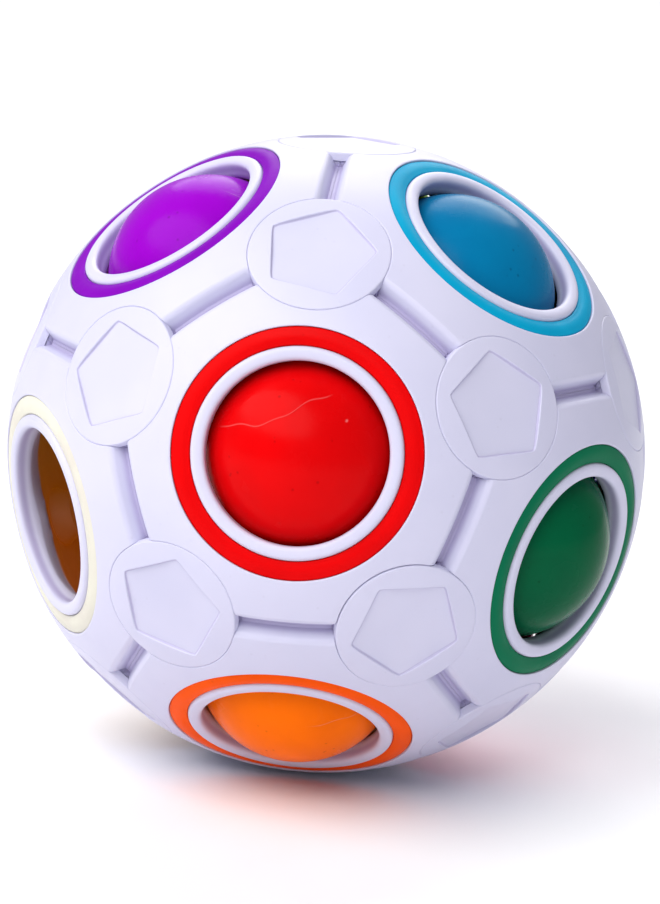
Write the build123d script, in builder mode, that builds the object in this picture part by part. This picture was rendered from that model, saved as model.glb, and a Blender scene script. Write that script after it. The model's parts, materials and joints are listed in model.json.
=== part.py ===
from build123d import *
import math
import os

# A ball of twelve pentagonal panels, each with a round hole. Eleven marbles sit in the holes and
# one hole is empty, so that a marble beside it can be pressed in and rolled across.
# Origin at the ball's centre, +Z through a corner cap, which is also how the ball stands.

# Driving dimensions, in millimetres.
ball_radius = 35.0  # outside of the moulded shell
shell_thickness = 2.9
panel_gap = 0.03  # each panel stands this far back from its side of a seam

hole_radius = 9.5
lip_radius = 11.0  # outer radius of the rounded lip round a hole
lip_top = 32.98  # heights from here on are along a hole's axis, from the ball's centre
lip_foot = 32.2
ring_radius = 13.05  # outer radius of the coloured ring
ring_floor = 31.3
ring_inner_top = 32.62
ring_outer_top = 32.34
ring_edge = 0.1  # chamfer along both edges of a ring's face
ring_crown = 0.12  # how far a ring's face swells above the line between its edges
rim_round = 0.25  # width of the broken edge of the shell round a ring
rim_sink = 0.05
ring_clearance = 0.02
collar_radius = 11.2  # the collar under the lip that the marble comes up against
collar_bottom = 29.4

marble_radius = 11.0
marble_seat = 24.8  # marble centre to ball centre
seat_clearance = 0.05
pass_depth = 19.45  # ball centre to a marble's centre halfway between two holes
pass_clearance = 0.10

groove_half_width = 0.80  # to the knee, where the sloping wall turns into the shoulder
groove_shoulder = 1.50  # to where the shoulder meets the sphere
groove_shoulder_round = 1.1
groove_foot_width = 0.35
groove_floor = 33.5
groove_knee = 34.30

cap_radius = 7.45
cap_clearance = 0.05
cap_floor = 33.3
cap_edge_round = 0.18
pentagon_radius = 6.2
pentagon_floor = 34.32
stem_radius = 2.6
stem_end = 29.8
barb_radius = 3.3
barb_top = 31.85
slit_width = 1.0
slit_top = 32.4
barb_height = 0.4
stem_taper = 0.4

core_radius = 13.7
core_wall = 2.0
vent_radius = 0.9

# Where the holes and the corners of a regular dodecahedron point, as seen from its centre.
golden = (1 + math.sqrt(5)) / 2
half_apart = math.degrees(math.atan(1 / golden))  # half the angle between neighbouring holes
upper_lean = math.degrees(math.asin(1 / math.sin(math.radians(72)) / math.sqrt(3)))
middle_lean = math.degrees(math.asin(golden * math.sin(math.radians(upper_lean))))

# Each hole's lean from +Z and its heading from +X, in degrees.
holes = {
    "red": (middle_lean, 270),
    "orange": (180 - upper_lean, 270),
    "white": (180 - middle_lean, 210),
    "green": (180 - middle_lean, 330),
    "purple": (upper_lean, 210),
    "cyan": (upper_lean, 330),
    "yellow": (middle_lean, 150),
    "blue": (middle_lean, 30),
    "brown": (180 - upper_lean, 150),
    "pink": (180 - upper_lean, 30),
    "lime": (upper_lean, 90),
    "rose": (180 - middle_lean, 90),
}
empty_hole = "white"

# The caps are pressed in at any turn: each pentagon's turn from point upwards, from the top cap down.
cap_turns = [0, -12, 30, 9, 17, 22, 3, -25, 33, -7, -14, -34, 12, 28, -19, 5, 15, -30, 24, 0]


def heading(lean, turn):
    """Unit vector at an angle from +Z and a heading from +X."""
    flat = math.sin(math.radians(lean))
    across = math.radians(turn)
    return Vector(flat * math.cos(across), flat * math.sin(across), math.cos(math.radians(lean)))


def facing(outward, towards, turn=0.0):
    """Plane through the ball's centre, its normal outward and its x axis leaning towards a vector."""
    across = towards - outward * towards.dot(outward)
    across = across.rotate(Axis((0, 0, 0), outward), turn)
    return Plane(origin=(0, 0, 0), x_dir=across, z_dir=outward)


def sphere_height(radius, sphere):
    """Height of a sphere's surface above its centre, at a distance from the axis."""
    return math.sqrt(sphere**2 - radius**2)


def on_sphere(lean, sphere):
    """Point of a sphere's half profile, as distance from the axis and height."""
    angle = math.radians(lean)
    return (sphere * math.sin(angle), sphere * math.cos(angle))


hole_directions = {name: heading(*place) for name, place in holes.items()}
neighbour_angle = 2 * half_apart


def are_neighbours(first, second):
    """Whether two hole directions stand next to each other."""
    return abs(first.get_angle(second) - neighbour_angle) < 1


def first_neighbour(name):
    """Direction of one hole beside the named one."""
    here = hole_directions[name]
    return next(other for other in hole_directions.values() if are_neighbours(here, other))


def corner_directions():
    """The twenty corners, where three neighbouring holes surround a point, from the top down."""
    found = []
    names = list(hole_directions)
    for i, first in enumerate(names):
        for j in range(i + 1, len(names)):
            for k in range(j + 1, len(names)):
                trio = [hole_directions[first], hole_directions[names[j]], hole_directions[names[k]]]
                pairs = [(trio[0], trio[1]), (trio[1], trio[2]), (trio[0], trio[2])]
                if all(are_neighbours(*pair) for pair in pairs):
                    found.append((trio[0] + trio[1] + trio[2]).normalized())
    return sorted(found, key=lambda corner: (-round(corner.Z, 3), round(math.atan2(corner.Y, corner.X), 3)))


# The way a marble rolls from one hole to the next: an arc that dips inwards at the middle, so that
# it clears the two marbles beside the way. Its pivot lies outside the ball, over the seam.
half_chord = marble_seat * math.sin(math.radians(half_apart))
pass_sagitta = marble_seat * math.cos(math.radians(half_apart)) - pass_depth
pass_radius = (half_chord**2 + pass_sagitta**2) / (2 * pass_sagitta)
pass_pivot = pass_depth + pass_radius
pass_swing = 2 * math.degrees(math.asin(half_chord / pass_radius))

os.makedirs("parts", exist_ok=True)

# Cutters and masters, made once about +Z with a neighbouring hole towards +X.
open_air = ball_radius + 1  # cutters run out past the surface to here
past_seam = 0.5  # and across the seam by this much
sphere_overshoot = 0.03

seam_middle = heading(half_apart, 0)
pivot_axis = Axis(seam_middle * pass_pivot, (0, -1, 0))
from_pivot = (Vector(0, 0, marble_seat) - seam_middle * pass_pivot).normalized()
start_plane = Plane(origin=(0, 0, marble_seat), x_dir=(0, 1, 0), z_dir=from_pivot.cross(Vector(0, 1, 0)))

with BuildPart() as passage:  # the room that a marble sweeps on its way to the next hole
    with BuildSketch(start_plane):
        Circle(marble_radius + pass_clearance)
    revolve(axis=pivot_axis, revolution_arc=pass_swing)

seam_axis = Axis((0, 0, 0), (seam_middle.Z, 0, -seam_middle.X))
seam_plane = Plane(origin=(0, 0, 0), x_dir=(seam_middle.Z, 0, -seam_middle.X), z_dir=(0, -1, 0))

with BuildPart() as groove:  # half of the groove along a seam, with a rounded shoulder
    with BuildSketch(seam_plane):
        with BuildLine():
            knee = (-groove_half_width, groove_knee)
            brow = (-groove_shoulder, sphere_height(groove_shoulder, ball_radius) + sphere_overshoot)
            floor_end = (-groove_foot_width, groove_floor)
            floor_start = (past_seam, groove_floor)
            Line(floor_start, floor_end)
            Line(floor_end, knee)
            RadiusArc(knee, brow, groove_shoulder_round)
            Polyline(brow, (-groove_shoulder, open_air), (past_seam, open_air), floor_start)
        make_face()
    revolve(axis=seam_axis, revolution_arc=360)

corner_direction = heading(upper_lean, 180 / 5)
corner_plane = Plane(origin=(0, 0, 0), x_dir=(0, 0, 1), z_dir=corner_direction)

with BuildPart() as corner_seat:  # a cap's share of the shell: the recess for its head, and its stem
    with BuildSketch(corner_plane.offset(cap_floor)):
        Circle(cap_radius + cap_clearance)
    extrude(amount=open_air - cap_floor)
    with BuildSketch(corner_plane.offset(stem_end)):
        Circle(stem_radius + cap_clearance)
    extrude(amount=cap_floor - stem_end)

with BuildPart() as panel_wedge:  # the pyramid from the ball's centre that one panel fills
    inner_height = ball_radius / 2
    outer_height = ball_radius * 1.1
    slope = math.tan(math.radians(half_apart))
    set_back = panel_gap / math.cos(math.radians(half_apart))
    for height in (inner_height, outer_height):
        with BuildSketch(Plane.XY.offset(height)):
            RegularPolygon(height * slope - set_back, 5, major_radius=False, rotation=180 / 5)
    loft(ruled=True)

shell_inside = ball_radius - shell_thickness
blank_lean = upper_lean + 3  # the turned blank reaches a little past the panel's corners
rim_lean = math.degrees(math.asin((ring_radius + rim_round) / ball_radius))
middle_of_blank = (blank_lean + rim_lean) / 2
with BuildPart() as panel_master:
    with BuildSketch(Plane.XZ):
        with BuildLine():
            rim = on_sphere(rim_lean, ball_radius)
            rim_edge = (ring_radius, ring_outer_top - rim_sink)
            outer_edge = on_sphere(blank_lean, ball_radius)
            inner_edge = on_sphere(blank_lean, shell_inside)
            collar_top = (collar_radius, sphere_height(collar_radius, shell_inside))
            bulge = on_sphere(middle_of_blank, ball_radius)
            hollow = on_sphere(middle_of_blank, shell_inside)
            ThreePointArc(rim, bulge, outer_edge)
            Line(outer_edge, inner_edge)
            ThreePointArc(inner_edge, hollow, collar_top)
            Line(collar_top, (collar_radius, collar_bottom))
            Line((collar_radius, collar_bottom), (hole_radius, collar_bottom))
            Line((hole_radius, collar_bottom), (hole_radius, lip_foot))
            lip_middle = ((hole_radius + lip_radius) / 2, lip_top)
            ThreePointArc((hole_radius, lip_foot), lip_middle, (lip_radius, lip_foot))
            Line((lip_radius, lip_foot), (lip_radius, ring_floor))
            Line((lip_radius, ring_floor), (ring_radius, ring_floor))
            Line((ring_radius, ring_floor), rim_edge)
            Line(rim_edge, rim)
        make_face()
    revolve(axis=Axis.Z)
    add(panel_wedge.part, mode=Mode.INTERSECT)
    with Locations((0, 0, marble_seat)):
        Sphere(marble_radius + seat_clearance, mode=Mode.SUBTRACT)
    with PolarLocations(0, 5):
        add(passage.part, mode=Mode.SUBTRACT)
    with PolarLocations(0, 5):
        add(groove.part, mode=Mode.SUBTRACT)
    with PolarLocations(0, 5):
        add(corner_seat.part, mode=Mode.SUBTRACT)

with BuildPart() as ring_master:
    with BuildSketch(Plane.XZ):
        with BuildLine():
            inner = lip_radius + ring_clearance
            outer = ring_radius - ring_clearance
            inner_side = (inner, ring_inner_top - ring_edge)
            outer_side = (outer, ring_outer_top - ring_edge)
            inner_face = (inner + ring_edge, ring_inner_top)
            outer_face = (outer - ring_edge, ring_outer_top)
            face_crown = ((inner + outer) / 2, (ring_inner_top + ring_outer_top) / 2 + ring_crown)
            Polyline(inner_side, (inner, ring_floor), (outer, ring_floor), outer_side, outer_face)
            ThreePointArc(outer_face, face_crown, inner_face)
            Line(inner_face, inner_side)
        make_face()
    revolve(axis=Axis.Z)

crown_lean = math.degrees(math.asin(cap_radius / ball_radius)) / 2
with BuildPart() as cap_master:
    with BuildSketch(Plane.XZ):
        with BuildLine():
            shoulder = sphere_height(cap_radius - cap_edge_round, ball_radius)
            edge_top = shoulder - cap_edge_round
            crown = on_sphere(crown_lean, ball_radius)
            stem_tip = (stem_radius - stem_taper, stem_end)
            barb_foot = (barb_radius, barb_top - barb_height)
            Polyline((0, stem_end), stem_tip, barb_foot, (barb_radius, barb_top))
            Line((barb_radius, barb_top), (stem_radius, barb_top))
            Line((stem_radius, barb_top), (stem_radius, cap_floor))
            Line((stem_radius, cap_floor), (cap_radius, cap_floor))
            Line((cap_radius, cap_floor), (cap_radius, edge_top))
            Line((cap_radius, edge_top), (cap_radius - cap_edge_round, shoulder))
            ThreePointArc((cap_radius - cap_edge_round, shoulder), crown, (0, ball_radius))
            Line((0, ball_radius), (0, stem_end))
        make_face()
    revolve(axis=Axis.Z)
    with BuildSketch(Plane.XY.offset(pentagon_floor)):
        RegularPolygon(pentagon_radius, 5)
    extrude(amount=open_air - pentagon_floor, mode=Mode.SUBTRACT)
    with BuildSketch(Plane.XY.offset(stem_end)):
        Rectangle(4 * stem_radius, slit_width)
    extrude(amount=slit_top - stem_end, mode=Mode.SUBTRACT)

# Panels and their coloured rings, one of each round every hole.

for name, direction in hole_directions.items():
    seat = facing(direction, first_neighbour(name))

    with BuildPart() as panel:
        with Locations(seat.location):
            add(panel_master.part)
    panel.part.label = "panel_" + name
    export_step(panel.part, f"parts/panel_{name}.step")

    with BuildPart() as ring:
        with Locations(seat.location):
            add(ring_master.part)
    ring.part.label = "ring_" + name
    export_step(ring.part, f"parts/ring_{name}.step")

# Corner caps, which pin three panels together at each corner.

for number, (direction, turn) in enumerate(zip(corner_directions(), cap_turns), start=1):
    upright = Vector(0, 1, 0) if abs(direction.Z) > 0.999 else Vector(0, 0, 1)
    with BuildPart() as cap:
        with Locations(facing(direction, upright, turn).location):
            add(cap_master.part)
    cap.part.label = f"corner_cap_{number:02d}"
    export_step(cap.part, f"parts/corner_cap_{number:02d}.step")

# Marbles, one in every hole but the empty one.

for name, direction in hole_directions.items():
    if name == empty_hole:
        continue
    with BuildPart() as marble:
        with Locations(facing(direction, first_neighbour(name)).offset(marble_seat).location):
            Sphere(marble_radius)
    marble.part.label = "marble_" + name
    export_step(marble.part, f"parts/marble_{name}.step")

# Hollow soft core that pushes the marbles out into their holes.

with BuildPart() as core:
    Sphere(core_radius)
    Sphere(core_radius - core_wall, mode=Mode.SUBTRACT)
    with BuildSketch(Plane.XY.offset(-core_radius)):
        Circle(vent_radius)
    extrude(amount=2 * core_wall, mode=Mode.SUBTRACT)
core.part.label = "soft_core"
export_step(core.part, "parts/soft_core.step")
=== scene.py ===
import json
import math
import bmesh
import bpy
from mathutils import Matrix, Vector


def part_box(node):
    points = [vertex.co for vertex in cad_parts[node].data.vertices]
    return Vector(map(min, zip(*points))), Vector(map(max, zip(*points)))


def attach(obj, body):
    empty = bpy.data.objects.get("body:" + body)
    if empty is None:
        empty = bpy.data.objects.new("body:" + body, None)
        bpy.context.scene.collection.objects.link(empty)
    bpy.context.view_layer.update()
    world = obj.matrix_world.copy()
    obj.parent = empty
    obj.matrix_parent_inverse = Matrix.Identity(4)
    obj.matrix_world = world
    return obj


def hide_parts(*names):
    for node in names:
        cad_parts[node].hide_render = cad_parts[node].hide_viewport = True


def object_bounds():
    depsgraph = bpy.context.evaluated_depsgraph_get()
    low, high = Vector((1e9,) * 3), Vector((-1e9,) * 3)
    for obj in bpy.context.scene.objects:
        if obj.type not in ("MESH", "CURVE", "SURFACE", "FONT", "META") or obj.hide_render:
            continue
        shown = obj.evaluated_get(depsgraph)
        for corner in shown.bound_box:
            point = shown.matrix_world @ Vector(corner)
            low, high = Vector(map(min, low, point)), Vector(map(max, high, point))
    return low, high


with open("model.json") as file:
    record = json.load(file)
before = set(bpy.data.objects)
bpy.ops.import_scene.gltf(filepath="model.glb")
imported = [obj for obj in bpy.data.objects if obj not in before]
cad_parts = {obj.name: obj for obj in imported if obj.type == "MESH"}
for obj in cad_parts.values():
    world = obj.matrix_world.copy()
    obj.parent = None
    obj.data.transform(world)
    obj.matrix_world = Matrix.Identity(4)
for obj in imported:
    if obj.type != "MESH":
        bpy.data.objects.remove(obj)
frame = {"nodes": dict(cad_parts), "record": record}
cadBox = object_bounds()
mm = 0.001
nodes = frame["nodes"]
print("frame loaded:", len(nodes), "nodes")


# Where everything points. A marble's box gives its hole's axis, and a mount gives the empty hole's.
def boxMiddle(node):
    low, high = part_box(node)
    return (low + high) / 2


emptyHole = "white"
holeNames = sorted(name.removeprefix("panel_") for name in nodes if name.startswith("panel_"))
emptyMount = next(mount for mount in frame["record"]["mounts"] if mount["name"] == "empty_hole")
holeAxes = {}
for hole in holeNames:
    if hole == emptyHole:
        holeAxes[hole] = Vector(emptyMount["axis"]).normalized()
    else:
        holeAxes[hole] = boxMiddle("marble_" + hole).normalized()

halfApart = math.atan(2 / (1 + math.sqrt(5)))  # half the angle between two neighbouring holes
cornerLean = math.asin(1 / math.sin(math.radians(72)) / math.sqrt(3))  # hole axis to corner
seamStep = math.radians(72)


def neighboursOf(hole):
    here = holeAxes[hole]
    return [name for name in holeNames if name != hole and here.angle(holeAxes[name]) < 2.1 * halfApart]


def tangentTo(outward, towards):
    return (towards - outward * towards.dot(outward)).normalized()


ball = {
    "radius": round(max(v.co.length for v in nodes["panel_red"].data.vertices) / mm, 2),
    "inside": 32.1,
    "marbleRadius": round((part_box("marble_red")[1].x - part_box("marble_red")[0].x) / 2 / mm, 1),
    "marbleSeat": round(boxMiddle("marble_red").length / mm, 1),
}
print("ball", ball)


# Mesh helpers. Everything below is drawn in millimetres about +Z and scaled when it is placed.
def bandMesh(name, columns, closedProfile, sharpDegrees):
    # columns of points that run round +Z; each column is one cross-section of the piece
    mesh = bpy.data.meshes.new(name)
    tall = len(columns[0])
    points = [point for column in columns for point in column]
    faces = []
    for c in range(len(columns)):
        here, there = c * tall, (c + 1) % len(columns) * tall
        for r in range(tall if closedProfile else tall - 1):
            up = (r + 1) % tall
            faces.append((here + r, there + r, there + up, here + up))
    mesh.from_pydata([tuple(point) for point in points], [], faces)
    work = bmesh.new()
    work.from_mesh(mesh)
    bmesh.ops.remove_doubles(work, verts=work.verts, dist=0.0005)
    bmesh.ops.dissolve_degenerate(work, edges=work.edges, dist=0.0003)
    bmesh.ops.recalc_face_normals(work, faces=work.faces)
    work.to_mesh(mesh)
    work.free()
    mesh.shade_smooth()
    mesh.set_sharp_from_angle(angle=math.radians(sharpDegrees))
    return mesh


def markInside(mesh, isInside):
    # a value of 1 on every point of the shell's inside, where its finish paints a brown shade and a warm glow
    mark = mesh.attributes.new("inside", "FLOAT", "POINT")
    for vertex in mesh.vertices:
        mark.data[vertex.index].value = 1.0 if isInside(vertex.co) else 0.0
    return mesh


def lathe(name, profile, steps, closedProfile, sharpDegrees):
    # a profile of (radius, height) turned about +Z
    columns = []
    for step in range(steps):
        turn = 2 * math.pi * step / steps
        columns.append([Vector((r * math.cos(turn), r * math.sin(turn), z)) for r, z in profile])
    return bandMesh(name, columns, closedProfile, sharpDegrees)


def rounded(corner, before, after, radius, steps):
    # points of a rounded corner, from the side of before to the side of after
    corner, before, after = Vector(corner), Vector(before), Vector(after)
    start = corner + (before - corner).normalized() * radius
    end = corner + (after - corner).normalized() * radius
    points = []
    for i in range(steps + 1):
        t = i / steps
        points.append(tuple(start * (1 - t) ** 2 + corner * 2 * t * (1 - t) + end * t**2))
    return points


def mix(a, b, t):
    return a + (b - a) * t


# A face panel: bore and lip, ring groove, sphere, seam grooves, corner seats, inside.
panel = {
    "holeRadius": 9.5,
    "lipRadius": 11.0,
    "lipFoot": 32.2,
    "lipTop": 32.98,
    "lipSquareness": 3.0,
    "lipSteps": 16,
    "boreTop": 31.5,
    "boreFootWidth": 0.10,
    "boreFootDrop": 0.03,
    "boreFootRise": 0.12,
    "ringRadius": 13.05,
    "ringFloor": 31.3,
    "rimRound": 0.28,
    "rimDrop": 0.02,
    "rimSteps": 4,
    "rimSkip": 0.0005,
    "collarRadius": 11.2,
    "collarBottom": 29.4,
    "collarRows": (10.8, 10.4, 10.1, 9.85),
    "seatGap": 0.05,
    "passGap": 0.10,
    "passDepth": 19.45,
    "passSteps": 24,
    "seamGap": 0.015,
    "grooveFloor": 33.5,
    "grooveFoot": 0.35,
    "grooveKnee": (0.80, 34.30),
    "shoulderMiddle": (1.844, 33.953),
    "shoulderRadius": 1.10,
    "shoulderEnd": 1.50,
    "seatRadius": 7.5,
    "seatFloor": 33.3,
    "seatEdgeRound": 0.16,
    "seatRunIn": 0.5,
    "slitFoot": 0.02,
    "stemHole": 2.65,
    "sphereRows": 12,
    "insideRows": 6,
    "turnRuns": ((0.0, 1.9, 8), (14.6, 0.45, 13), (20.5, 1.2, 13)),
    "lastTurn": 35.9,
    "sharpDegrees": 38,
    "insideSkin": 0.05,
    "insideSpread": 0.34,
}
grooveInsets = (2.0, 1.75, 1.6, 1.5, 1.4, 1.3, 1.2, 1.1, 1.0, 0.9, 0.8, 0.65, 0.5, 0.38, 0.32, 0.015)


def surfaceHeight(inset):
    # distance of the outer surface from the ball's centre, at a distance from the seam
    kneeInset, kneeHeight = panel["grooveKnee"]
    if inset >= panel["shoulderEnd"]:
        return ball["radius"]
    if inset >= kneeInset:
        middle, height = panel["shoulderMiddle"]
        return min(ball["radius"], height + math.sqrt(panel["shoulderRadius"] ** 2 - (inset - middle) ** 2))
    share = max(0.0, (inset - panel["grooveFoot"]) / (kneeInset - panel["grooveFoot"]))
    return mix(panel["grooveFloor"], kneeHeight, share)


def seamAngle(turn, inset):
    # angle from the hole's axis at which a column stands that far inside the seam
    a, b = math.sin(halfApart), math.cos(halfApart) * math.cos(turn)
    return math.acos(inset / ball["radius"] / math.hypot(a, b)) - math.atan2(b, a)


def insetAt(turn, angle):
    a, b = math.sin(halfApart), math.cos(halfApart) * math.cos(turn)
    return ball["radius"] * (a * math.cos(angle) - b * math.sin(angle))


def roundCornerAngle(turnFromCorner, share):
    # angle at which a column meets a cylinder round the corner's axis; share is its radius over its distance
    a, b = math.cos(cornerLean), math.sin(cornerLean) * math.cos(turnFromCorner)
    reach = math.cos(math.asin(share)) / math.hypot(a, b)
    if reach > 1:
        return None
    return math.atan2(b, a) - math.acos(reach)


def seatAngle(turn):
    # where a column meets the edge of a corner seat, which the groove may have lowered
    fromCorner = seamStep / 2 - abs(turn)
    angle = roundCornerAngle(fromCorner, panel["seatRadius"] / ball["radius"])
    for attempt in range(4):
        if angle is None:
            return None
        height = surfaceHeight(insetAt(turn, angle))
        angle = roundCornerAngle(fromCorner, panel["seatRadius"] / height)
    return angle


def passTrack():
    # centres of a marble rolling to the next hole, as (distance out, height)
    seat, depth = ball["marbleSeat"], panel["passDepth"]
    chord = seat * math.sin(halfApart)
    dip = seat * math.cos(halfApart) - depth
    radius = (chord**2 + dip**2) / (2 * dip)
    pivot = Vector((math.sin(halfApart), math.cos(halfApart))) * (depth + radius)
    start = Vector((0, seat)) - pivot
    swing = 2 * math.asin(chord / radius)
    track = []
    for i in range(panel["passSteps"] + 1):
        t = swing * 0.5 * i / panel["passSteps"]
        turned = Vector((
            start.x * math.cos(t) - start.y * math.sin(t),
            start.x * math.sin(t) + start.y * math.cos(t)))
        track.append(pivot + turned)
    return track


marbleTrack = passTrack()


def collarUnderside(radius, turn):
    # the marble's seat, and the room that it needs on its way to the nearest neighbour
    reach = ball["marbleRadius"] + panel["seatGap"]
    lowest = panel["collarBottom"]
    lowest = max(lowest, ball["marbleSeat"] + math.sqrt(reach**2 - radius**2)) if radius < reach else lowest
    reach = ball["marbleRadius"] + panel["passGap"]
    x, y = radius * math.cos(turn), radius * math.sin(turn)
    for centre in marbleTrack:
        across = (x - centre.x) ** 2 + y**2
        if across < reach**2:
            lowest = max(lowest, centre.y + math.sqrt(reach**2 - across))
    return lowest


def superRound(low, high, foot, top, squareness, steps):
    # a flattened round crest between two radii
    middle, half = (low + high) / 2, (high - low) / 2
    points = []
    for i in range(steps + 1):
        t = math.pi * (1 - i / steps)
        c, s = math.cos(t), math.sin(t)
        points.append((
            middle + half * math.copysign(abs(c) ** (2 / squareness), c),
            foot + (top - foot) * abs(s) ** (2 / squareness)))
    return points


def panelColumn(heading, turn):
    # heading is the column's angle about the hole's axis, turn its angle from the nearest seam's middle
    flat = Vector((math.cos(heading), math.sin(heading), 0))
    up = Vector((0, 0, 1))
    side = 1 if turn >= 0 else -1
    cornerHeading = heading - turn + side * seamStep / 2
    corner = Vector((
        math.sin(cornerLean) * math.cos(cornerHeading),
        math.sin(cornerLean) * math.sin(cornerHeading),
        math.cos(cornerLean)))

    def around(radius, height):
        return flat * radius + up * height

    def direction(angle):
        return flat * math.sin(angle) + up * math.cos(angle)

    bore, lip, ring = panel["holeRadius"], panel["lipRadius"], panel["ringRadius"]
    boreFoot = collarUnderside(bore, turn)
    footRadius = bore + panel["boreFootWidth"]
    footHeight = max(boreFoot - panel["boreFootDrop"], collarUnderside(footRadius, turn))
    points = [around(footRadius, footHeight)]
    points += [around(bore, boreFoot + panel["boreFootRise"]), around(bore, panel["boreTop"])]
    crest = superRound(
        bore, lip, panel["lipFoot"], panel["lipTop"], panel["lipSquareness"], panel["lipSteps"])
    points += [around(r, z) for r, z in crest]
    points += [around(lip, panel["ringFloor"]), around(ring, panel["ringFloor"])]

    rimOut = ring + panel["rimRound"]
    rimTop = (rimOut, math.sqrt(ball["radius"] ** 2 - rimOut**2))
    rimCorner = (ring, math.sqrt(ball["radius"] ** 2 - ring**2) - panel["rimDrop"])
    rim = rounded(rimCorner, (ring, 0), rimTop, panel["rimRound"] * 0.8, panel["rimSteps"])
    points += [around(r, z) for r, z in rim]

    rimAngle = math.asin(rimOut / ball["radius"])
    seat = seatAngle(turn)
    rows = []
    for k, inset in enumerate(grooveInsets):
        angle = seamAngle(turn, inset)
        spare = (len(grooveInsets) - 1 - k) / (len(grooveInsets) - 1)
        if seat is not None:
            angle = min(angle, seat - panel["seatRunIn"] * spare**2 / ball["radius"])
        rows.append(angle)
    rowCount = panel["sphereRows"]
    plain = [mix(rimAngle, rows[0], (j + 1) / (rowCount + 1)) for j in range(rowCount)]
    for angle in [rimAngle + panel["rimSkip"]] + plain + rows:
        height = surfaceHeight(insetAt(turn, angle))
        if seat is not None:
            near = max(0.0, (seat - angle) * ball["radius"])
            edge = panel["seatEdgeRound"]
            if near < edge:
                height -= edge - math.sqrt(max(0.0, edge**2 - (edge - near) ** 2))
        points.append(direction(angle) * height)

    last = points[-1]
    seamSide = seamAngle(turn, panel["seamGap"])
    onSeat = seat is not None and seat < seamSide
    if onSeat:
        points.append(last - corner * max(0.0, last.dot(corner) - panel["seatFloor"]))
        fromCorner = seamStep / 2 - abs(turn)
        stem = roundCornerAngle(fromCorner, panel["stemHole"] / ball["inside"])
        endAngle = seamSide if stem is None else min(seamSide, stem)
        outward = direction(endAngle)
        points.append(outward * (panel["seatFloor"] / outward.dot(corner)))
    else:
        endAngle = seamSide
        outward = direction(endAngle)
        points += [outward * panel["seatFloor"], outward * (panel["seatFloor"] - panel["slitFoot"])]
    points.append(direction(endAngle) * ball["inside"])

    collar = panel["collarRadius"]
    collarAngle = math.asin(collar / ball["inside"])
    for j in range(1, panel["insideRows"]):
        points.append(direction(mix(endAngle, collarAngle, j / panel["insideRows"])) * ball["inside"])
    points.append(direction(collarAngle) * ball["inside"])
    for radius in (collar, *panel["collarRows"]):
        points.append(around(radius, collarUnderside(radius, turn)))
    return points


def panelTurns():
    # column angles over one seam, closer together where the groove runs into the corner seats
    half = [start + step * i for start, step, count in panel["turnRuns"] for i in range(count)]
    turns = sorted([-angle for angle in half[1:]] + half)
    return [math.radians(angle) for angle in turns if abs(angle) < panel["lastTurn"]]


def makePanel():
    columns = []
    for seam in range(5):
        for turn in panelTurns():
            columns.append(panelColumn(seam * seamStep + turn, turn))
        columns.append(panelColumn(seam * seamStep + seamStep / 2, seamStep / 2 - 1e-6))
    mesh = bandMesh("panelMaster", columns, True, panel["sharpDegrees"])
    deepest = ball["inside"] + panel["insideSkin"]
    nearest = ball["inside"] * panel["insideSpread"]
    return markInside(mesh, lambda point: point.length < deepest and point.xy.length > nearest)


# A coloured ring is a flat inlay with rounded edges.
ringInlay = {
    "inner": 11.02,
    "outer": 13.03,
    "floor": 31.3,
    "innerTop": 32.62,
    "outerTop": 32.34,
    "edge": 0.30,
    "edgeSteps": 6,
    "crown": 0.12,
    "crownSteps": 8,
    "crownShare": (0.17, 0.83),
    "steps": 168,
    "sharpDegrees": 50,
}


def makeRing():
    r = ringInlay
    innerTop, outerTop = (r["inner"], r["innerTop"]), (r["outer"], r["outerTop"])
    innerFloor, outerFloor = (r["inner"], r["floor"]), (r["outer"], r["floor"])
    profile = [innerFloor] + rounded(innerTop, innerFloor, outerTop, r["edge"], r["edgeSteps"])
    start, end = r["inner"] + r["edge"], r["outer"] - r["edge"]
    for i in range(1, r["crownSteps"]):
        t = i / r["crownSteps"]
        swell = r["crown"] * 4 * t * (1 - t)
        slope = mix(r["innerTop"], r["outerTop"], mix(*r["crownShare"], t))
        profile.append((mix(start, end, t), slope + swell))
    profile += rounded(outerTop, innerTop, outerFloor, r["edge"], r["edgeSteps"]) + [outerFloor]
    return lathe("ringMaster", profile, r["steps"], True, r["sharpDegrees"])


# A corner cap has a round head with a sunk pentagon, and a barbed stem.
cap = {
    "radius": 7.475,
    "edgeRound": 0.18,
    "edgeSteps": 4,
    "floor": 33.32,
    "pentagonRadius": 6.2,
    "pentagonFloor": 34.32,
    "pentagonCorner": 0.175,
    "cornerEase": 0.12,
    "cornerSoftness": 6,
    "wallWidth": 0.20,
    "wallSteps": 6,
    "creaseShadeBand": (0.09, 0.22),
    "faceRings": (0.0, 0.35, 0.7),
    "rimStart": 0.08,
    "rimRows": 5,
    "stemRadius": 2.6,
    "barbRadius": 3.3,
    "barbTop": 31.85,
    "barbHeight": 0.4,
    "stemEnd": 29.8,
    "stemTaper": 0.4,
    "looseShift": 0.12,
    "topAbove": 34,
    "pentagonWithin": 6.3,
    "floorWithin": 0.02,
    "steps": 150,
    "sharpDegrees": 50,
}


def pentagonEdge(turn):
    # distance out to a pentagon's edge, its points slightly rounded
    apothem = cap["pentagonRadius"] * math.cos(math.pi / 5)
    fromEdge = (turn + math.pi / 5) % seamStep - math.pi / 5
    fromEdge = math.pi / 5 - abs(fromEdge)
    reach = apothem / math.cos(fromEdge)
    limit = cap["pentagonRadius"] - cap["pentagonCorner"] + cap["cornerEase"]
    soft = cap["cornerSoftness"]
    return -math.log(math.exp(-soft * reach) + math.exp(-soft * limit)) / soft


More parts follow.
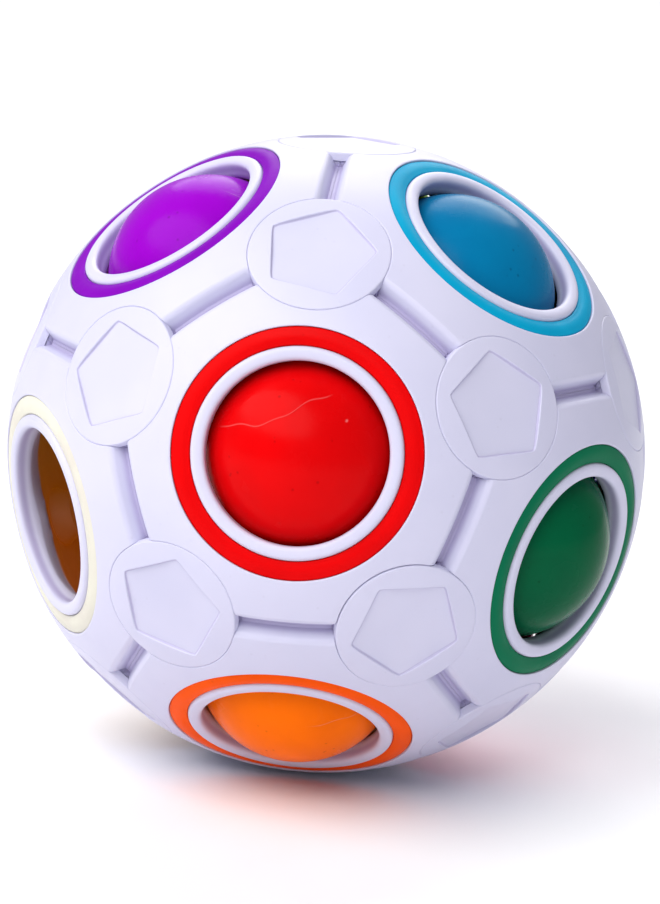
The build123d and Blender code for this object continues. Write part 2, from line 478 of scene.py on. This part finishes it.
def makeCap():
    wall = cap["wallWidth"]
    columns = []
    for step in range(cap["steps"]):
        turn = 2 * math.pi * step / cap["steps"]
        edge = pentagonEdge(turn)

        def height(radius):
            sphere = math.sqrt(ball["radius"] ** 2 - radius**2)
            share = min(1.0, max(0.0, (radius - edge + wall) / wall))
            share = share * share * (3 - 2 * share)
            return mix(cap["pentagonFloor"], sphere, share)

        radii = [edge * ring for ring in cap["faceRings"]] + [edge - wall * 1.6]
        radii += [edge - wall * (1 - i / cap["wallSteps"]) for i in range(cap["wallSteps"] + 1)]
        outside, rows = cap["radius"] - cap["edgeRound"], cap["rimRows"]
        radii += [mix(edge + cap["rimStart"], outside, i / (rows - 1)) for i in range(rows)]
        profile = [(radius, height(radius)) for radius in radii]
        rim = (cap["radius"], math.sqrt(ball["radius"] ** 2 - cap["radius"] ** 2))
        profile += rounded(rim, profile[-1], (cap["radius"], 0), cap["edgeRound"] * 0.9, cap["edgeSteps"])
        profile += [(cap["radius"], cap["floor"]), (cap["stemRadius"], cap["floor"])]
        profile += [(cap["stemRadius"], cap["barbTop"]), (cap["barbRadius"], cap["barbTop"])]
        profile += [(cap["barbRadius"], cap["barbTop"] - cap["barbHeight"])]
        profile += [(cap["stemRadius"] - cap["stemTaper"], cap["stemEnd"]), (0.0, cap["stemEnd"])]
        columns.append([Vector((r * math.cos(turn), r * math.sin(turn), z)) for r, z in profile])
    mesh = bandMesh("capMaster", columns, False, cap["sharpDegrees"])
    # a value of 1 along the foot of the pentagon's wall, where the finish paints a thin line of shade
    creaseShade = mesh.attributes.new("creaseShade", "FLOAT", "POINT")
    low, high = cap["creaseShadeBand"]
    for vertex in mesh.vertices:
        flat = vertex.co.xy
        inwards = pentagonEdge(math.atan2(flat.y, flat.x)) - flat.length
        onFace = vertex.co.z > cap["pentagonFloor"] - 0.01
        creaseShade.data[vertex.index].value = 1.0 if onFace and low < inwards < high else 0.0
    return markInside(mesh, lambda point: point.z < cap["barbTop"] + 0.01)


# A marble is moulded in two halves, so a faint parting line runs round it.
marble = {"partingHeight": 0.012, "partingWidth": 0.10, "rows": 72, "steps": 120, "sharpDegrees": 60}


def ballProfile(radius, rows, ridge, width):
    profile = []
    for row in range(rows + 1):
        lean = math.pi * row / rows
        height = radius * math.cos(lean)
        grown = radius + ridge * math.exp(-((height / width) ** 2))
        profile.append((max(0.0, grown * math.sin(lean)), grown * math.cos(lean)))
    profile[0], profile[-1] = (0.0, radius), (0.0, -radius)
    return profile


def makeMarble():
    profile = ballProfile(
        ball["marbleRadius"], marble["rows"], marble["partingHeight"], marble["partingWidth"])
    return lathe("marbleMaster", profile, marble["steps"], False, marble["sharpDegrees"])


# The soft core has a vent at its foot.
core = {
    "radius": 13.68,
    "ventRadius": 0.9,
    "ventDepth": 1.9,
    "ventRound": 0.3,
    "seamHeight": 0.01,
    "seamWidth": 0.2,
    "rows": 72,
    "steps": 120,
    "sharpDegrees": 60,
}


def makeCore():
    radius, vent = core["radius"], core["ventRadius"]
    profile = ballProfile(radius, core["rows"], core["seamHeight"], core["seamWidth"])
    profile = [point for point in profile if point[1] > 0 or point[0] > vent + core["ventRound"] + 0.1]
    lip = (vent, -math.sqrt(radius**2 - vent**2))
    profile += rounded(lip, profile[-1], (vent, 0), core["ventRound"], 4)
    profile += [(vent, -radius + core["ventDepth"]), (0.0, -radius + core["ventDepth"])]
    return lathe("coreMaster", profile, core["steps"], False, core["sharpDegrees"])


# One tree sets every repeated part in its place on the ball.
def placingTree():
    tree = bpy.data.node_groups.new("setOnBall", "GeometryNodeTree")
    face = tree.interface
    inputs = (
        ("Geometry", "Geometry"), ("Outward", "Vector"), ("Towards", "Vector"),
        ("Place", "Vector"), ("Size", "Float"), ("Material", "Material"))
    for name, kind in inputs:
        face.new_socket(name=name, in_out="INPUT", socket_type="NodeSocket" + kind)
    face.new_socket(name="Geometry", in_out="OUTPUT", socket_type="NodeSocketGeometry")
    add, link = tree.nodes.new, tree.links.new
    given, done = add("NodeGroupInput"), add("NodeGroupOutput")
    point = add("GeometryNodeMeshLine")
    point.inputs["Count"].default_value = 1
    standUp = add("FunctionNodeAlignRotationToVector")
    swingRound = add("FunctionNodeAlignRotationToVector")
    standUp.axis, swingRound.axis = "Z", "X"
    swingRound.pivot_axis = "Z"
    spread = add("GeometryNodeInstanceOnPoints")
    real = add("GeometryNodeRealizeInstances")
    paint = add("GeometryNodeSetMaterial")
    link(given.outputs["Place"], point.inputs["Start Location"])
    link(given.outputs["Outward"], standUp.inputs["Vector"])
    link(standUp.outputs["Rotation"], swingRound.inputs["Rotation"])
    link(given.outputs["Towards"], swingRound.inputs["Vector"])
    link(point.outputs["Mesh"], spread.inputs["Points"])
    link(given.outputs["Geometry"], spread.inputs["Instance"])
    link(swingRound.outputs["Rotation"], spread.inputs["Rotation"])
    link(given.outputs["Size"], spread.inputs["Scale"])
    link(spread.outputs["Instances"], real.inputs["Geometry"])
    link(real.outputs["Geometry"], paint.inputs["Geometry"])
    link(given.outputs["Material"], paint.inputs["Material"])
    link(paint.outputs["Geometry"], done.inputs["Geometry"])
    return tree


setOnBall = placingTree()


def placed(name, master, outward, towards, place, material):
    # runs the tree on a master mesh and keeps the result as a plain mesh
    carrier = bpy.data.objects.new(name + "Carrier", master)
    bpy.context.scene.collection.objects.link(carrier)
    modifier = carrier.modifiers.new("setOnBall", "NODES")
    modifier.node_group = setOnBall
    values = {
        "Outward": outward, "Towards": towards, "Place": place, "Size": mm, "Material": material}
    for item in setOnBall.interface.items_tree:
        if item.item_type == "SOCKET" and item.in_out == "INPUT" and item.name in values:
            value = values[item.name]
            modifier[item.identifier] = list(value) if isinstance(value, Vector) else value
    bpy.context.view_layer.update()
    evaluated = carrier.evaluated_get(bpy.context.evaluated_depsgraph_get())
    mesh = bpy.data.meshes.new_from_object(evaluated)
    mesh.name = name
    bpy.data.objects.remove(carrier)
    piece = bpy.data.objects.new(name, mesh)
    bpy.context.scene.collection.objects.link(piece)
    return piece


# Short ways to add and join shader nodes.
def shaderTools(tree):
    def add(kind, **settings):
        node = tree.nodes.new(kind)
        for key, value in settings.items():
            setattr(node, key, value)
        return node

    def feed(socket, source):
        if isinstance(source, bpy.types.NodeSocket):
            tree.links.new(source, socket)
        else:
            socket.default_value = source

    def calc(operation, a, b=0.0):
        node = add("ShaderNodeMath", operation=operation)
        feed(node.inputs[0], a)
        feed(node.inputs[1], b)
        return node.outputs[0]

    def ramp(value, low, high, toLow=0.0, toHigh=1.0):
        node = add("ShaderNodeMapRange", interpolation_type="SMOOTHSTEP")
        for name, given in (("Value", value), ("From Min", low), ("From Max", high)):
            feed(node.inputs[name], given)
        feed(node.inputs["To Min"], toLow)
        feed(node.inputs["To Max"], toHigh)
        return node.outputs["Result"]

    def blendColour(share, a, b):
        node = add("ShaderNodeMix", data_type="RGBA")
        feed(node.inputs["Factor"], share)
        feed(node.inputs["A"], a)
        feed(node.inputs["B"], b)
        return node.outputs["Result"]

    def noise(vector, scale, detail, roughness):
        node = add("ShaderNodeTexNoise")
        feed(node.inputs["Vector"], vector)
        feed(node.inputs["Scale"], scale)
        feed(node.inputs["Detail"], detail)
        feed(node.inputs["Roughness"], roughness)
        return node.outputs["Fac"]

    return add, feed, calc, ramp, blendColour, noise


# Grain and marks that every plastic shares. Scales are cells per metre, bands are where a mask turns on.
skinPattern = {
    "driftBand": (0.30, 0.72),
    "driftDetail": (3.0, 0.55),
    "pitScale": 900.0,
    "pitBand": (0.05, 0.22),
    "sparseScale": 420.0,
    "sparseBand": (0.56, 0.66),
    "pitTone": (0.55, 0.50, 0.50, 1.0),
    "pitDepth": 0.5,
    "grainDetail": (2.0, 0.6),
    "smearScale": 160.0,
    "smearDetail": (4.0, 0.6),
    "smearBand": (0.32, 0.70),
}


def mouldedSkin():
    # tone drift, fine mould grain and handling marks of a plastic moulding, from a position in metres
    tree = bpy.data.node_groups.new("mouldedSkin", "ShaderNodeTree")
    face = tree.interface
    inputs = (
        ("Position", "Vector"), ("Tone", "Color"), ("Deep Tone", "Color"), ("Drift Scale", "Float"),
        ("Grain Scale", "Float"), ("Grain Height", "Float"), ("Speck Amount", "Float"),
        ("Smooth", "Float"), ("Rough", "Float"))
    for name, kind in inputs:
        face.new_socket(name=name, in_out="INPUT", socket_type="NodeSocket" + kind)
    for name, kind in (("Color", "Color"), ("Roughness", "Float"), ("Height", "Float")):
        face.new_socket(name=name, in_out="OUTPUT", socket_type="NodeSocket" + kind)
    add, feed, calc, ramp, blendColour, noise = shaderTools(tree)
    given, done = add("NodeGroupInput"), add("NodeGroupOutput")
    position = given.outputs["Position"]

    drift = noise(position, given.outputs["Drift Scale"], *skinPattern["driftDetail"])
    drift = ramp(drift, *skinPattern["driftBand"])
    colour = blendColour(drift, given.outputs["Tone"], given.outputs["Deep Tone"])

    pits = add("ShaderNodeTexVoronoi", feature="F1")
    feed(pits.inputs["Vector"], position)
    feed(pits.inputs["Scale"], skinPattern["pitScale"])
    pitted = ramp(pits.outputs["Distance"], *skinPattern["pitBand"], 1.0, 0.0)
    sparse = ramp(noise(position, skinPattern["sparseScale"], 1.0, 0.5), *skinPattern["sparseBand"])
    specks = calc("MULTIPLY", calc("MULTIPLY", pitted, sparse), given.outputs["Speck Amount"])
    darker = add("ShaderNodeMix", data_type="RGBA", blend_type="MULTIPLY")
    feed(darker.inputs["Factor"], specks)
    feed(darker.inputs["A"], colour)
    feed(darker.inputs["B"], skinPattern["pitTone"])

    grain = noise(position, given.outputs["Grain Scale"], *skinPattern["grainDetail"])
    height = calc("MULTIPLY", calc("SUBTRACT", grain, 0.5), given.outputs["Grain Height"])
    height = calc("SUBTRACT", height, calc("MULTIPLY", specks, skinPattern["pitDepth"]))
    smears = noise(position, skinPattern["smearScale"], *skinPattern["smearDetail"])
    ends = given.outputs["Smooth"], given.outputs["Rough"]
    roughness = ramp(smears, *skinPattern["smearBand"], *ends)
    feed(done.inputs["Color"], darker.outputs["Result"])
    feed(done.inputs["Roughness"], roughness)
    feed(done.inputs["Height"], height)
    return tree


skinGroup = mouldedSkin()


def plasticMaterial(name, finish, centre=None, turn=(0.0, 0.0, 0.0), extra=None):
    # extra adds what only one finish has, and gives back a colour, a height and a glow or None
    material = bpy.data.materials.new(name)
    material.use_nodes = True
    tree = material.node_tree
    tree.nodes.clear()
    tools = shaderTools(tree)
    add, feed = tools[0], tools[1]
    out, surface = add("ShaderNodeOutputMaterial"), add("ShaderNodeBsdfPrincipled")
    feed(out.inputs["Surface"], surface.outputs["BSDF"])
    position = add("ShaderNodeTexCoord").outputs["Object"]
    if centre is not None:
        centred = add("ShaderNodeMapping", vector_type="TEXTURE")
        feed(centred.inputs["Vector"], position)
        centred.inputs["Location"].default_value = centre
        centred.inputs["Rotation"].default_value = turn
        position = centred.outputs["Vector"]
    skin = add("ShaderNodeGroup")
    skin.node_tree = skinGroup
    feed(skin.inputs["Position"], position)
    for socket in skin.inputs[1:]:
        socket.default_value = finish[socket.name]
    colour, height, glow = skin.outputs["Color"], skin.outputs["Height"], None
    if extra:
        colour, height, glow = extra(tools, position, colour, height)
    if glow:
        feed(surface.inputs["Emission Color"], glow)
        surface.inputs["Emission Strength"].default_value = 1.0
    feed(surface.inputs["Base Color"], colour)
    feed(surface.inputs["Roughness"], skin.outputs["Roughness"])
    bump = add("ShaderNodeBump")
    feed(bump.inputs["Height"], height)
    bump.inputs["Strength"].default_value = finish["bump"]
    bump.inputs["Distance"].default_value = finish["bumpDepth"]
    feed(surface.inputs["Normal"], bump.outputs["Normal"])
    surface.inputs["IOR"].default_value = finish["ior"]
    surface.inputs["Specular IOR Level"].default_value = finish["shine"]
    return material


shellFinish = {
    "Tone": (0.63, 0.62, 0.79, 1.0), "Deep Tone": (0.59, 0.585, 0.76, 1.0),
    "Drift Scale": 70.0, "Grain Scale": 3200.0, "Grain Height": 0.35, "Speck Amount": 0.10,
    "Smooth": 0.34, "Rough": 0.46, "bump": 0.25, "bumpDepth": 0.00006, "ior": 1.46, "shine": 0.35,
    # the groove and crease values paint shade into the seams and along the caps' pentagon walls
    "grooveShadeTone": (0.36, 0.31, 0.54, 1.0), "grooveTop": 34.28 * mm, "grooveDeep": 33.45 * mm,
    "grooveBottom": 32.9 * mm, "grooveShadeAmount": 0.7, "creaseShadeAmount": 0.45,
    # the inside values paint a brown shade on the shell's inside and a warm painted glow near the empty hole
    "insideShadeTone": (0.40, 0.16, 0.02, 1.0), "insideShadeAmount": 0.85,
    "warmTop": 6.0 * mm, "warmBottom": -20.0 * mm, "warmFades": -8.0 * mm, "warmFull": -22.0 * mm,
    "warmHigh": (0.050, 0.022, 0.0, 1.0), "warmLow": (0.14, 0.026, 0.0, 1.0),
}


def paintedShadeAndGlow(tools, position, colour, height):
    # painted shade: the seams are darkened toward a mauve tone, deepest at the slit
    add, feed, calc, ramp, blendColour, _ = tools
    look = shellFinish
    distance = add("ShaderNodeVectorMath", operation="LENGTH")
    feed(distance.inputs[0], position)
    reach = distance.outputs["Value"]
    depth = ramp(reach, look["grooveTop"], look["grooveDeep"], 0.0, look["grooveShadeAmount"])
    outside = ramp(reach, look["grooveBottom"], look["grooveDeep"])
    # painted shade: a thin dark line at the foot of each cap's pentagon wall
    creaseShade = add("ShaderNodeAttribute", attribute_name="creaseShade").outputs["Fac"]
    creaseShade = calc("MULTIPLY", creaseShade, look["creaseShadeAmount"])
    shade = calc("MAXIMUM", calc("MULTIPLY", depth, outside), creaseShade)
    colour = blendColour(shade, colour, look["grooveShadeTone"])
    # painted shade and painted light: the inside is tinted brown, and near the empty hole it glows warm,
    # browner lower down, standing for light that seeps through the thin plastic
    inside = add("ShaderNodeAttribute", attribute_name="inside").outputs["Fac"]
    parts = add("ShaderNodeSeparateXYZ")
    feed(parts.inputs["Vector"], position)
    fall = ramp(parts.outputs["Z"], look["warmTop"], look["warmBottom"])
    warm = blendColour(fall, look["warmHigh"], look["warmLow"])
    insideShade = calc("MULTIPLY", inside, look["insideShadeAmount"])
    colour = blendColour(insideShade, colour, look["insideShadeTone"])
    lit = ramp(parts.outputs["X"], look["warmFades"], look["warmFull"])
    return colour, height, blendColour(calc("MULTIPLY", inside, lit), (0.0, 0.0, 0.0, 1.0), warm)


# Each hole's marble colour, then its ring's.
colours = {
    "red": ((0.70, 0.001, 0.002), (0.74, 0.001, 0.002)),
    "orange": ((1.0, 0.165, 0.001), (0.98, 0.098, 0.001)),
    "white": ((0.74, 0.73, 0.62), (0.74, 0.73, 0.62)),
    "green": ((0.001, 0.105, 0.040), (0.001, 0.162, 0.072)),
    "purple": ((0.30, 0.001, 0.52), (0.205, 0.001, 0.42)),
    "cyan": ((0.001, 0.17, 0.36), (0.001, 0.36, 0.60)),
    "yellow": ((0.86, 0.55, 0.01), (0.90, 0.62, 0.02)),
    "blue": ((0.008, 0.045, 0.50), (0.01, 0.06, 0.60)),
    "brown": ((0.30, 0.10, 0.015), (0.33, 0.12, 0.02)),
    "pink": ((0.88, 0.20, 0.38), (0.90, 0.24, 0.42)),
    "lime": ((0.28, 0.60, 0.02), (0.34, 0.66, 0.03)),
    "rose": ((0.70, 0.006, 0.14), (0.76, 0.01, 0.17)),
}


ringFinish = {
    "Drift Scale": 110.0, "Grain Scale": 2400.0, "Grain Height": 0.5, "Speck Amount": 0.25,
    "Smooth": 0.34, "Rough": 0.48, "bump": 0.35, "bumpDepth": 0.00005, "ior": 1.46, "shine": 0.05,
}
marbleFinish = {
    "Drift Scale": 110.0, "Grain Scale": 2400.0, "Grain Height": 0.35, "Speck Amount": 0.7,
    "Smooth": 0.17, "Rough": 0.30, "bump": 0.75, "bumpDepth": 0.00005, "ior": 1.46, "shine": 0.05,
}
deepShare = (0.90, 0.86, 0.90)  # the deeper tone of a coloured plastic, as a share of its colour


def inColour(finish, colour):
    deep = [part * share for part, share in zip(colour, deepShare)]
    return {**finish, "Tone": (*colour, 1.0), "Deep Tone": (*deep, 1.0)}


marbleMarks = {
    "lineWidth": 0.11 * mm,
    "lineHeight": 1.0,
    "linePale": 0.20,
    "lineAt": 6.3 * mm,
    "lineSlope": 0.40,
    "swing": 0.38 * mm,
    "wave": 661.0,
    "waveStart": 0.5,
    "ripple": 0.12 * mm,
    "rippleWave": 1900.0,
    "from": -8.6 * mm,
    "fadeIn": 1.5 * mm,
    "to": 3.4 * mm,
    "fadeOut": 1.0 * mm,
    "frontFade": 1.0 * mm,
    "nickPlace": (4.9 * mm, 0.0, 5.4 * mm),
    "nickRadius": 0.22 * mm,
    "nickDepth": 0.8,
    "nickPale": 0.5,
    "paleTone": (0.5, 0.3, 0.3, 1.0),
}


def marbleSkin(tools, position, colour, height):
    # a wandering flow line, raised where the melt met, and one light nick
    add, feed, calc, ramp, _, _ = tools
    marks = marbleMarks
    parts = add("ShaderNodeSeparateXYZ")
    feed(parts.inputs["Vector"], position)
    x, y, z = parts.outputs["X"], parts.outputs["Y"], parts.outputs["Z"]
    phase = calc("ADD", calc("MULTIPLY", x, marks["wave"]), marks["waveStart"])
    course = calc("ADD", calc("MULTIPLY", x, marks["lineSlope"]), marks["lineAt"])
    course = calc("ADD", course, calc("MULTIPLY", calc("SINE", phase), marks["swing"]))
    ripple = calc("SINE", calc("MULTIPLY", x, marks["rippleWave"]))
    course = calc("ADD", course, calc("MULTIPLY", ripple, marks["ripple"]))
    away = calc("ABSOLUTE", calc("SUBTRACT", z, course))
    front = ramp(y, marks["frontFade"], -marks["frontFade"])
    line = ramp(away, 0.0, marks["lineWidth"], 1.0, 0.0)
    starts = ramp(x, marks["from"], marks["from"] + marks["fadeIn"])
    ends = ramp(x, marks["to"] - marks["fadeOut"], marks["to"], 1.0, 0.0)
    line = calc("MULTIPLY", calc("MULTIPLY", line, calc("MULTIPLY", starts, ends)), front)
    flat = add("ShaderNodeCombineXYZ")
    feed(flat.inputs["X"], x)
    feed(flat.inputs["Z"], z)
    gap = add("ShaderNodeVectorMath", operation="DISTANCE")
    feed(gap.inputs[0], flat.outputs["Vector"])
    gap.inputs[1].default_value = marks["nickPlace"]
    nick = calc("MULTIPLY", ramp(gap.outputs["Value"], 0.0, marks["nickRadius"], 1.0, 0.0), front)
    raised = calc("ADD", height, calc("MULTIPLY", line, marks["lineHeight"]))
    raised = calc("SUBTRACT", raised, calc("MULTIPLY", nick, marks["nickDepth"]))
    pale = calc(
        "MAXIMUM", calc("MULTIPLY", line, marks["linePale"]), calc("MULTIPLY", nick, marks["nickPale"]))
    paler = add("ShaderNodeMix", data_type="RGBA", blend_type="SCREEN")
    feed(paler.inputs["Factor"], pale)
    feed(paler.inputs["A"], colour)
    feed(paler.inputs["B"], marks["paleTone"])
    return paler.outputs["Result"], raised, None


coreFinish = {
    "Tone": (0.46, 0.37, 0.25, 1.0), "Deep Tone": (0.38, 0.30, 0.19, 1.0),
    "Drift Scale": 120.0, "Grain Scale": 1500.0, "Grain Height": 0.8, "Speck Amount": 0.5,
    "Smooth": 0.62, "Rough": 0.80, "bump": 0.4, "bumpDepth": 0.0001, "ior": 1.50, "shine": 0.3,
}

shellPlastic = plasticMaterial("shellPlastic", shellFinish, extra=paintedShadeAndGlow)
coreRubber = plasticMaterial("coreRubber", coreFinish)
print("finishes ready")


# Every piece is set in its place and given its body and its finish, and its CAD node is hidden.
panelMaster, ringMaster, capMaster = makePanel(), makeRing(), makeCap()
marbleMaster, coreMaster = makeMarble(), makeCore()
centreOfBall = Vector((0, 0, 0))
masters = (panelMaster, ringMaster, capMaster, marbleMaster, coreMaster)
print("masters:", {master.name: len(master.polygons) for master in masters})

for hole in holeNames:
    outward = holeAxes[hole]
    towards = tangentTo(outward, holeAxes[neighboursOf(hole)[0]])
    facePanel = placed("facePanel_" + hole, panelMaster, outward, towards, centreOfBall, shellPlastic)
    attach(facePanel, "shell")
    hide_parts("panel_" + hole)

    ringPlastic = plasticMaterial("ringPlastic_" + hole, inColour(ringFinish, colours[hole][1]))
    colourRing = placed("colourRing_" + hole, ringMaster, outward, towards, centreOfBall, ringPlastic)
    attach(colourRing, "shell")
    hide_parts("ring_" + hole)
print("panels and rings set")

cornerAxes = []
for i, first in enumerate(holeNames):
    for j, second in enumerate(holeNames[i + 1:], i + 1):
        for third in holeNames[j + 1:]:
            near = {second, third} <= set(neighboursOf(first)) and third in neighboursOf(second)
            if near:
                cornerAxes.append((holeAxes[first] + holeAxes[second] + holeAxes[third]).normalized())


def offAxis(point, axis):
    return (point - axis * point.dot(axis)).length


def pentagonPoint(node, axis):
    # one corner of the cap's sunk pentagon, which says how the cap is turned
    top = [v.co for v in nodes[node].data.vertices if v.co.dot(axis) > cap["topAbove"] * mm]
    near = [point for point in top if offAxis(point, axis) < cap["pentagonWithin"] * mm]
    lowest = min(point.dot(axis) for point in near)
    floor = [point for point in near if point.dot(axis) < lowest + cap["floorWithin"] * mm]
    return max(floor, key=lambda point: offAxis(point, axis))


# one cap is not quite pushed home and shows a dark gap towards the red hole
looseCorner = (holeAxes["red"] + holeAxes["orange"] + holeAxes["green"]).normalized()
for node in sorted(name for name in nodes if name.startswith("corner_cap_")):
    middle = boxMiddle(node)
    axis = min(cornerAxes, key=lambda corner: corner.angle(middle))
    turnedTo = pentagonPoint(node, axis)
    if axis.angle(looseCorner) < 0.01:
        shift = cap["looseShift"] / ball["radius"]
        axis = (axis - tangentTo(axis, holeAxes["red"]) * shift).normalized()
    towards = tangentTo(axis, turnedTo)
    cornerCap = placed("cornerCap_" + node[-2:], capMaster, axis, towards, centreOfBall, shellPlastic)
    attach(cornerCap, "shell")
    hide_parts(node)
print("caps set")

# how each marble happens to lie: turns of its parting line and flow line
marbleLie = {
    "red": (0.0, 0.0, 0.0), "orange": (0.6, -0.5, 1.0), "green": (1.2, 0.4, -0.7), "purple": (-0.4, 0.9, 0.5),
    "cyan": (0.9, -0.2, 2.0), "yellow": (0.3, 0.7, -1.2), "blue": (2.0, 0.5, 0.3), "brown": (-0.8, 0.2, 0.9),
    "pink": (0.5, 1.1, -0.4), "lime": (-0.3, -0.9, 1.5), "rose": (1.5, 0.1, 0.6),
}
for hole in holeNames:
    if hole == emptyHole:
        continue
    seat = holeAxes[hole] * ball["marbleSeat"] * mm
    lie = marbleLie[hole]
    outward = Vector((math.sin(lie[0]), math.cos(lie[1]), math.cos(lie[0]))).normalized()
    towards = tangentTo(outward, Vector((1, lie[2], 0.3)))
    marblePlastic = plasticMaterial(
        "marblePlastic_" + hole, inColour(marbleFinish, colours[hole][0]), seat, lie, marbleSkin)
    ballPiece = placed("marblePiece_" + hole, marbleMaster, outward, towards, seat, marblePlastic)
    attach(ballPiece, "marble_" + hole)
    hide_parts("marble_" + hole)

upwards, sideways = Vector((0, 0, 1)), Vector((1, 0, 0))
softCore = placed("softCore", coreMaster, upwards, sideways, centreOfBall, coreRubber)
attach(softCore, "shell")
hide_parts("soft_core")
print("marbles and core set")


# Floor, light and camera.
floorFinish = {
    "Tone": (0.93, 0.93, 0.94, 1.0), "Deep Tone": (0.91, 0.91, 0.93, 1.0),
    "Drift Scale": 3.0, "Grain Scale": 400.0, "Grain Height": 0.2, "Speck Amount": 0.0,
    "Smooth": 0.55, "Rough": 0.65, "bump": 0.05, "bumpDepth": 0.00005, "ior": 1.4, "shine": 0.2,
}
studio = {
    "floorSize": 5.0,
    "sky": (0.95, 0.96, 1.0),
    "skyStrength": 0.37,
}
lights = {
    "key": {"place": (-0.46, -0.52, 0.78), "size": (1.90, 0.85), "power": 15.2, "tint": (1.0, 0.99, 0.97)},
    "fill": {"place": (0.80, -0.80, 0.20), "size": (0.80, 0.80), "power": 0.15, "tint": (0.97, 0.97, 1.0)},
    "rim": {"place": (0.10, 0.75, 0.65), "size": (0.70, 0.70), "power": 1.5, "tint": (1.0, 1.0, 1.0)},
    "back": {"place": (0.0, 2.0, 1.6), "size": (2.4, 2.4), "power": 32.0, "tint": (1.0, 1.0, 1.0)},
}


def makeFloor():
    half = studio["floorSize"] / 2
    mesh = bpy.data.meshes.new("paleFloor")
    corners = [(-half, -half, 0), (half, -half, 0), (half, half, 0), (-half, half, 0)]
    mesh.from_pydata(corners, [], [(0, 1, 2, 3)])
    mesh.transform(Matrix.Translation((0, 0, cadBox[0].z)))
    mesh.materials.append(plasticMaterial("paleFloor", floorFinish))
    floor = bpy.data.objects.new("paleFloor", mesh)
    bpy.context.scene.collection.objects.link(floor)


def makeLight(name, values):
    data = bpy.data.lights.new(name, "AREA")
    data.shape = "ELLIPSE"
    data.size, data.size_y = values["size"]
    data.energy, data.color = values["power"], values["tint"]
    light = bpy.data.objects.new(name, data)
    light.location = values["place"]
    light.rotation_euler = (-Vector(values["place"])).to_track_quat("-Z", "Y").to_euler()
    bpy.context.scene.collection.objects.link(light)


def makeSky():
    world = bpy.data.worlds.new("studioSky")
    world.use_nodes = True
    background = world.node_tree.nodes["Background"]
    background.inputs["Color"].default_value = (*studio["sky"], 1.0)
    background.inputs["Strength"].default_value = studio["skyStrength"]
    bpy.context.scene.world = world


# the camera looks a little down on the ball from just right of the red hole, tipped slightly
cameraSet = {
    "distance": 443.88 * mm, "right": (0.99225, 0.10448, 0.06719), "up": (-0.08592, 0.18655, 0.97868),
    "aside": 0.437 * mm, "raised": 0.165 * mm, "lens": 160.64, "sensor": 36.0,
}


def makeCamera():
    right, up = Vector(cameraSet["right"]).normalized(), Vector(cameraSet["up"])
    back = right.cross(up).normalized()
    up = back.cross(right)
    data = bpy.data.cameras.new("camera")
    data.lens, data.sensor_width = cameraSet["lens"], cameraSet["sensor"]
    camera = bpy.data.objects.new("camera", data)
    place = back * cameraSet["distance"] + right * cameraSet["aside"] + up * cameraSet["raised"]
    camera.matrix_world = Matrix.Translation(place) @ Matrix((right, up, back)).transposed().to_4x4()
    bpy.context.scene.collection.objects.link(camera)
    bpy.context.scene.camera = camera


makeFloor()
for lightName, values in lights.items():
    makeLight(lightName, values)
makeSky()
makeCamera()
bpy.context.scene.view_settings.view_transform = "Standard"
print("studio ready")
